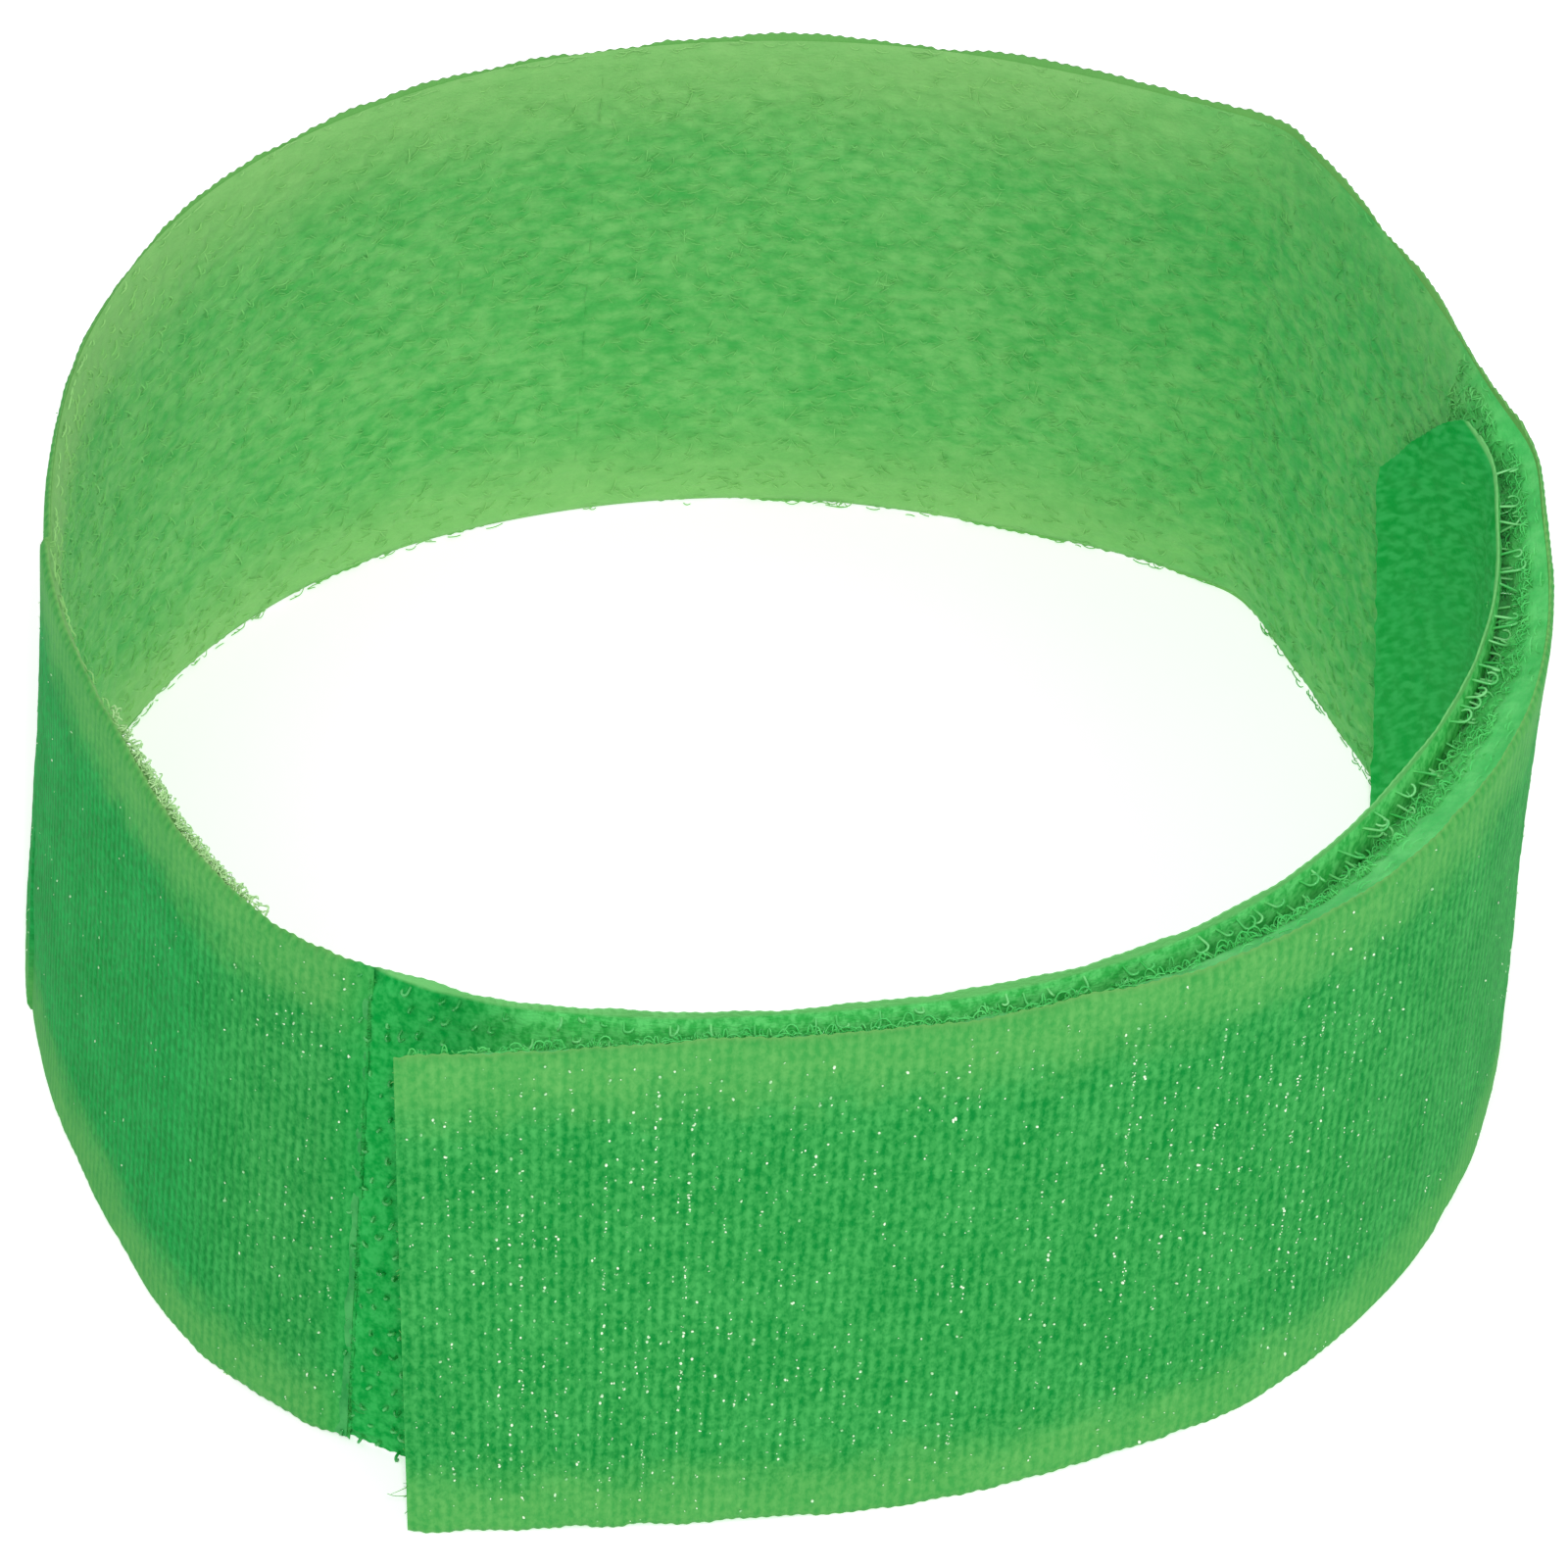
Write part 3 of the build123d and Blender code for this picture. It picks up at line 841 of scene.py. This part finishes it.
def teased_yarn(length, seed):
    """Yarn that the hooks have pulled up out of the tail's pile, along its rim and its foot."""
    name, low, high = length[:3]
    random = np.random.default_rng(seed)
    low, high = max(low + 0.4, ROOT_HINGE - 3.0), high - 0.4
    per_mm = 44
    count = int((high - low) * per_mm)
    s0 = random.uniform(low, high, count)
    from_edge = 0.5 + 3.6 * random.uniform(0, 1, count) ** 1.6
    z0 = np.where(random.uniform(0, 1, count) < 0.75, WIDTH - from_edge, from_edge)
    lift = random.uniform(0.1, 0.4, count)
    span = random.uniform(0.3, 0.9, count)
    angle = random.uniform(-1.3, 1.3, count)
    slump = random.normal(0, 0.25, count)
    t = np.linspace(0, 1, 7)[None, :]
    arch = np.sin(np.pi * t) ** 0.7
    s = s0[:, None] + ((t - 0.5) * span[:, None]) * np.cos(angle)[:, None]
    z = z0[:, None] + ((t - 0.5) * span[:, None]) * np.sin(angle)[:, None] + slump[:, None] * arch
    z = np.clip(z, 0.1, WIDTH - 0.15)
    right = WEBBING + pile_height(s0, z0)[:, None] - 0.1 + lift[:, None] * arch
    paths = loop_route.points(s, right, z)
    across = np.cross(paths[:, 3] - paths[:, 0], np.array([0.2, 0.1, 1.0]) * MM)
    piece = strand_piece(
        f"teased_yarn_{name}", paths, across, np.full(s.shape, 0.04 * MM), 4, (s, z, right),
        lit_raised_yarn, "loop_pile",
    )
    bend_with(piece, length)


def coating_glint_specks(length, seed):
    """Tiny flattened drops of coating on the ribs, in loose columns.
    Few are kept on the left-hand wall and where the tail turns, so that their painted glints show
    only where the tape faces the light."""
    name, low, high = length[:3]
    random = np.random.default_rng(seed)
    per_mm2 = 2.6
    count = int((high - low) * WIDTH * per_mm2)
    ribs = np.arange(math.ceil(low / RIB_PITCH) + 1, math.floor(high / RIB_PITCH))
    weight = 0.2 + random.uniform(0, 1, len(ribs)) ** 3
    rib = random.choice(ribs, count, p=weight / weight.sum())
    s0 = rib * RIB_PITCH + random.normal(0, 0.05, count)
    z0 = random.uniform(0.5, WIDTH - 0.5, count)
    # Painted light: specks are thinned where the tape turns from the light, on the left-hand wall
    # and at the tail's turn.
    left = fade(s0, 4.0, 7.5) * (1 - fade(s0, LEFT_HINGE + 10, LEFT_HINGE + 20))
    turn = fade(s0, ROOT_HINGE + 4.0, ROOT_HINGE + 12.0) * (
        1 - fade(s0, SHOULDER_HINGE + 7.0, SHOULDER_HINGE + 18.0)
    )
    chance = 0.35 + 0.65 * fade(np.minimum(z0, WIDTH - z0), 1.2, 4.0)
    chance = chance * (1 - 0.96 * left - 0.93 * turn)
    clustered = 0.45 + 0.75 * fade(noise(s0 / 4.0, z0 / 3.0, 35), -0.3, 0.5)
    keep = random.uniform(0, 1, count) < chance * clustered
    s0, z0 = s0[keep], z0[keep]
    size = 0.027 + 0.048 * random.uniform(0, 1, len(s0)) ** 2.3
    turns = 6
    rings = np.array([[0.0, -0.5], [1.0, -0.1], [0.8, 0.35], [0.0, 0.55]])
    angle = 2 * np.pi * np.arange(turns) / turns
    tilt_s = random.normal(0, 0.35, len(s0))
    tilt_z = random.normal(0, 0.35, len(s0))
    ring_s = rings[:, 0, None] * np.cos(angle)[None, :]
    ring_z = rings[:, 0, None] * np.sin(angle)[None, :]
    ring_up = np.repeat(rings[:, 1, None], turns, axis=1)
    s = s0[:, None, None] + size[:, None, None] * ring_s
    z = z0[:, None, None] + size[:, None, None] * ring_z
    up = size[:, None, None] * (
        ring_up + ring_s * tilt_s[:, None, None] + ring_z * tilt_z[:, None, None]
    )
    right = -(RIB_HEIGHT * 0.9) - up
    points = loop_route.points(s, right, z)
    start = np.arange(len(s0))[:, None, None] * len(rings) * turns
    faces = (start + ring_faces(len(rings), turns)[None]).reshape(-1, 4)
    tape_mm = np.stack(np.broadcast_arrays(s, z, right), axis=-1)
    piece = new_piece(
        f"coating_glint_specks_{name}", points, outward(points, [faces]), tape_mm, speck,
        "loop_tape_webbing",
    )
    bend_with(piece, length)


for index, length in enumerate(LENGTHS):
    loop_webbing(length)
    loop_pile(length)
    yarn_loops(length, 2.9 if length[0] in ("left", "right") else 1.6, 100 + index)
    coating_glint_specks(length, 200 + index)
    if length[0] == "left":
        rim_fringe(length, 95)
    else:
        teased_yarn(length, 300 + index)


# ---------------------------------------------------------------- hook tape
def clipped_top(s):
    """How far the upper edge of the hook tape draws down at its clipped corner."""
    corner = hook_route.length - TONGUE_CORNER
    return np.where(s > corner - 1.0, 0.5 * (s - corner + np.hypot(s - corner, 0.6)), 0.0)


def hook_tape_ground():
    """The woven ground of the hook tape: puckered, with thin edges and one clipped corner."""
    columns = int(hook_route.length / 0.11)
    s = np.linspace(0, hook_route.length, columns)
    starting = 1.7 * (1 - fade(s, 4.8, 9.8))
    bottom = np.maximum(0.0, 0.12 + edge_wave(s, 51))
    top = WIDTH - 0.08 + edge_wave(s, 52) * 0.6 - clipped_top(s) - starting
    share = np.linspace(0, 1, 96)[None, :]
    heights = bottom[:, None] + share * (top - bottom)[:, None]
    from_edge = np.minimum(heights - bottom[:, None], top[:, None] - heights)
    thin = 0.16 * (1 - fade(from_edge, 0.0, 0.8)) + 0.1 * (1 - fade(s, 0.0, 1.5))[:, None]
    along = TWILL[0] * s[:, None] + TWILL[1] * heights
    over = TWILL[0] * heights - TWILL[1] * s[:, None]
    weave = 0.5 + 0.5 * np.sin(2 * np.pi * over / 0.5 + 1.5 * noise(along / 1.2, over / 0.6, 61))
    calm = fade(from_edge, 0.1, 0.8)
    relief = calm * (0.03 * weave + 0.09 * noise(along / 1.5, over / 0.42, 62))
    past_lap = s - HOOK_LAP_END
    fillet = fade(past_lap, 0.0, 0.5) * (1 - fade(past_lap, 0.7, 2.6))
    lumps = 0.06 * calm * noise(s[:, None] / 0.55, heights / 0.5, 63)
    lumps = lumps + 0.22 * calm * fillet[:, None]
    inner_right = thin - relief
    outer_right = WEBBING - thin + lumps
    points, faces, tape_mm = tape_solid(hook_route, s, heights, heights, inner_right, outer_right)
    piece = new_piece(
        "hook_tape_ground", points, outward(points, faces), tape_mm, hook_ground,
        "hook_tape_webbing", sharp=75,
    )
    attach(piece, "hook_arm")
    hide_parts("hook_tape_webbing")


def hook_places(random):
    """Staggered rows of hooks over the tape, each place a little off its mark."""
    pitch_s, pitch_z = 0.86, 1.0
    rows = np.arange(0.5, WIDTH - 0.4, pitch_z)
    along = np.arange(HOOK_LAP_END + 0.3, hook_route.length - 0.5, pitch_s)
    s, z = np.meshgrid(along, rows)
    s = s + (np.arange(len(rows)) % 2)[:, None] * pitch_s / 2
    s, z = s.ravel(), z.ravel()
    s = s + random.normal(0, 0.12, len(s))
    z = z + random.normal(0, 0.1, len(z))
    keep = (z < WIDTH - 0.45 - clipped_top(s + 0.6)) & (s < hook_route.length - 0.8)
    keep &= random.uniform(0, 1, len(s)) > 0.05
    return s[keep], z[keep]


def hooks():
    """Cut monofilament hooks: each rises from the ground and curls over along its row.
    Those that stand clear of the tail are crushed and lean every way."""
    random = np.random.default_rng(71)
    s0, z0 = hook_places(random)
    count = len(s0)
    facing = np.where(np.round(z0).astype(int) % 2 == 0, 1.0, -1.0)
    crushed = 1 - fade(s0, CRUSHED_END - 1.0, CRUSHED_END + 3.0)
    turned = random.normal(0, 0.65, count) + crushed * random.normal(0, 1.2, count)
    pressed = 1 - fade(s0, CRUSHED_END + 14.0, CRUSHED_END + 40.0)
    stem = random.uniform(0.42, 0.85, count) * (1 - 0.4 * pressed - 0.25 * crushed)
    curl = random.uniform(0.15, 0.32, count) * (1 - 0.25 * pressed - 0.25 * crushed)
    sweep = random.uniform(3.0, 4.1, count)
    steps = 10
    t = np.linspace(0, 1, steps)[None, :]
    arc = np.clip((t - 0.25) / 0.75, 0, 1) * sweep[:, None]
    rise = np.clip(t / 0.25, 0, 1) * stem[:, None]
    reach = curl[:, None] * (1 - np.cos(arc))
    up = rise + curl[:, None] * np.sin(arc)
    lean = random.normal(0.0, 0.3, count)[:, None] * up
    s = s0[:, None] + reach * (np.cos(turned) * facing)[:, None]
    z = z0[:, None] + reach * (np.sin(turned) * facing)[:, None] + lean
    right = WEBBING - 0.08 + up
    paths = hook_route.points(s, right, z)
    across = np.cross(paths[:, steps // 2 + 2] - paths[:, 0], hook_route.rightward(s0))
    radii = 0.06 * MM * (1 - 0.35 * fade(t, 0.9, 1.0)) * (1 + 0.2 * crushed[:, None])
    piece = strand_piece(
        "monofilament_hooks", paths, across, radii, 5, (s, z, right), monofilament,
        "hook_monofilament", sharp=75,
    )
    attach(piece, "hook_arm")
    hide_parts("hook_rows")


def lap_weld():
    """The fused layer between the tapes at the lap."""
    s = np.linspace(-LAP_EXTRA + 0.15, LAP_END, 110)
    heights = np.linspace(0.4, WIDTH - 1.6, 70)[None, :] + 0 * s[:, None]
    near = WEBBING - 0.08 + 0.03 * noise(heights / 0.5, s[:, None] / 0.5, 83)
    far = LAP_DEPTH - WEBBING + 0.1 + 0 * near
    points, faces, tape_mm = tape_solid(loop_route, s, heights, heights, near, far)
    piece = new_piece(
        "lap_weld_layer", points, outward(points, faces), tape_mm, fused, "weld_film", sharp=75
    )
    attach(piece, "hook_arm")
    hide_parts("lap_weld")


hook_tape_ground()
hooks()
lap_weld()


# ---------------------------------------------------------------- loose ends
def loose_ends(name, s_end, direction, body, seed, count):
    """Short frayed yarn ends along a cut end of tape, with two longer ones near its foot."""
    random = np.random.default_rng(seed)
    z0 = random.uniform(0.5, WIDTH - 0.5, count)
    reach = random.uniform(0.06, 0.3, count)
    reach[:2] = 0.95, 0.8
    z0[:2] = 1.9, 2.35
    depth = random.uniform(*((0.05, 0.35) if direction > 0 else (0.3, 0.42)), count)
    droop = random.normal(0, 0.25, count)
    t = np.linspace(0, 1, 6)[None, :]
    s = s_end + direction * (t * reach[:, None] - 0.15)
    z = z0[:, None] + droop[:, None] * reach[:, None] * t**2
    right = depth[:, None] + 0.1 * np.sin(3 * t + z0[:, None])
    paths = loop_route.points(s, right, z)
    across = np.cross(paths[:, -1] - paths[:, 0], np.array([0.3, 0.1, 1.0]))
    radii = np.broadcast_to(0.03 * MM * (1 - 0.5 * t), s.shape)
    piece = strand_piece(
        name, paths, across, radii, 4, (s, z, right), ribbed_webbing, "loop_tape_webbing"
    )
    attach(piece, body)


loose_ends("frayed_tail_end", LOOP_END, 1.0, "tail_tip", 91, 60)
loose_ends("frayed_lap_end", -LAP_EXTRA, -1.0, "hook_arm", 92, 240)


# ---------------------------------------------------------------- stage, light and camera
def make_floor():
    """A table far wider than the view."""
    bpy.ops.mesh.primitive_grid_add(x_subdivisions=4, y_subdivisions=4, size=6.0)
    floor = bpy.context.object
    floor.name = "pale_floor"
    floor.data.materials.append(floor_material())


def area_light(name, location, size, energy):
    """A round soft lamp that faces the ring."""
    data = bpy.data.lights.new(name, "AREA")
    data.shape = "DISK"
    data.size = size
    data.energy = energy
    lamp = bpy.data.objects.new(name, data)
    lamp.location = location
    toward = Vector(CENTRE) - Vector(location)
    lamp.rotation_euler = toward.to_track_quat("-Z", "Y").to_euler()
    bpy.context.scene.collection.objects.link(lamp)


# The stage is in metres.
CENTRE = (0.0, 0.0, 0.0125)
CAMERA_DISTANCE = 0.6373
CAMERA_ELEVATION = math.radians(41.57)
CAMERA_ROLL = math.radians(1.43)
CAMERA_LENS = 347.9
AIM = Vector((0.0001, -0.0036, 0.0143))


def make_camera():
    """A long lens, looking down at the front of the ring."""
    data = bpy.data.cameras.new("camera")
    data.lens = CAMERA_LENS
    data.clip_start, data.clip_end = 0.01, 20.0
    camera = bpy.data.objects.new("camera", data)
    back = Vector((0.0, -math.cos(CAMERA_ELEVATION), math.sin(CAMERA_ELEVATION)))
    camera.location = AIM + back * CAMERA_DISTANCE
    camera.rotation_mode = "QUATERNION"
    look = (-back).to_track_quat("-Z", "Y")
    camera.rotation_quaternion = look @ Quaternion((0, 0, 1), -CAMERA_ROLL)
    bpy.context.scene.collection.objects.link(camera)
    bpy.context.scene.camera = camera
    return camera.location


def make_light(eye):
    """White surroundings, two broad lamps, and a small one beside the camera for the specks."""
    world = bpy.data.worlds.new("studio")
    world.use_nodes = True
    background = world.node_tree.nodes["Background"]
    background.inputs["Color"].default_value = (1.0, 1.0, 1.0, 1.0)
    background.inputs["Strength"].default_value = 0.62
    bpy.context.scene.world = world
    area_light("key", (-0.20, -0.55, 0.75), 0.6, 1.7)
    area_light("fill", (0.55, -0.30, 0.45), 0.5, 1.0)
    area_light("glint", eye + Vector((0.02, 0.0, 0.05)), 0.03, 1.0)


make_floor()
make_light(make_camera())
bpy.context.scene.view_settings.view_transform = "Standard"
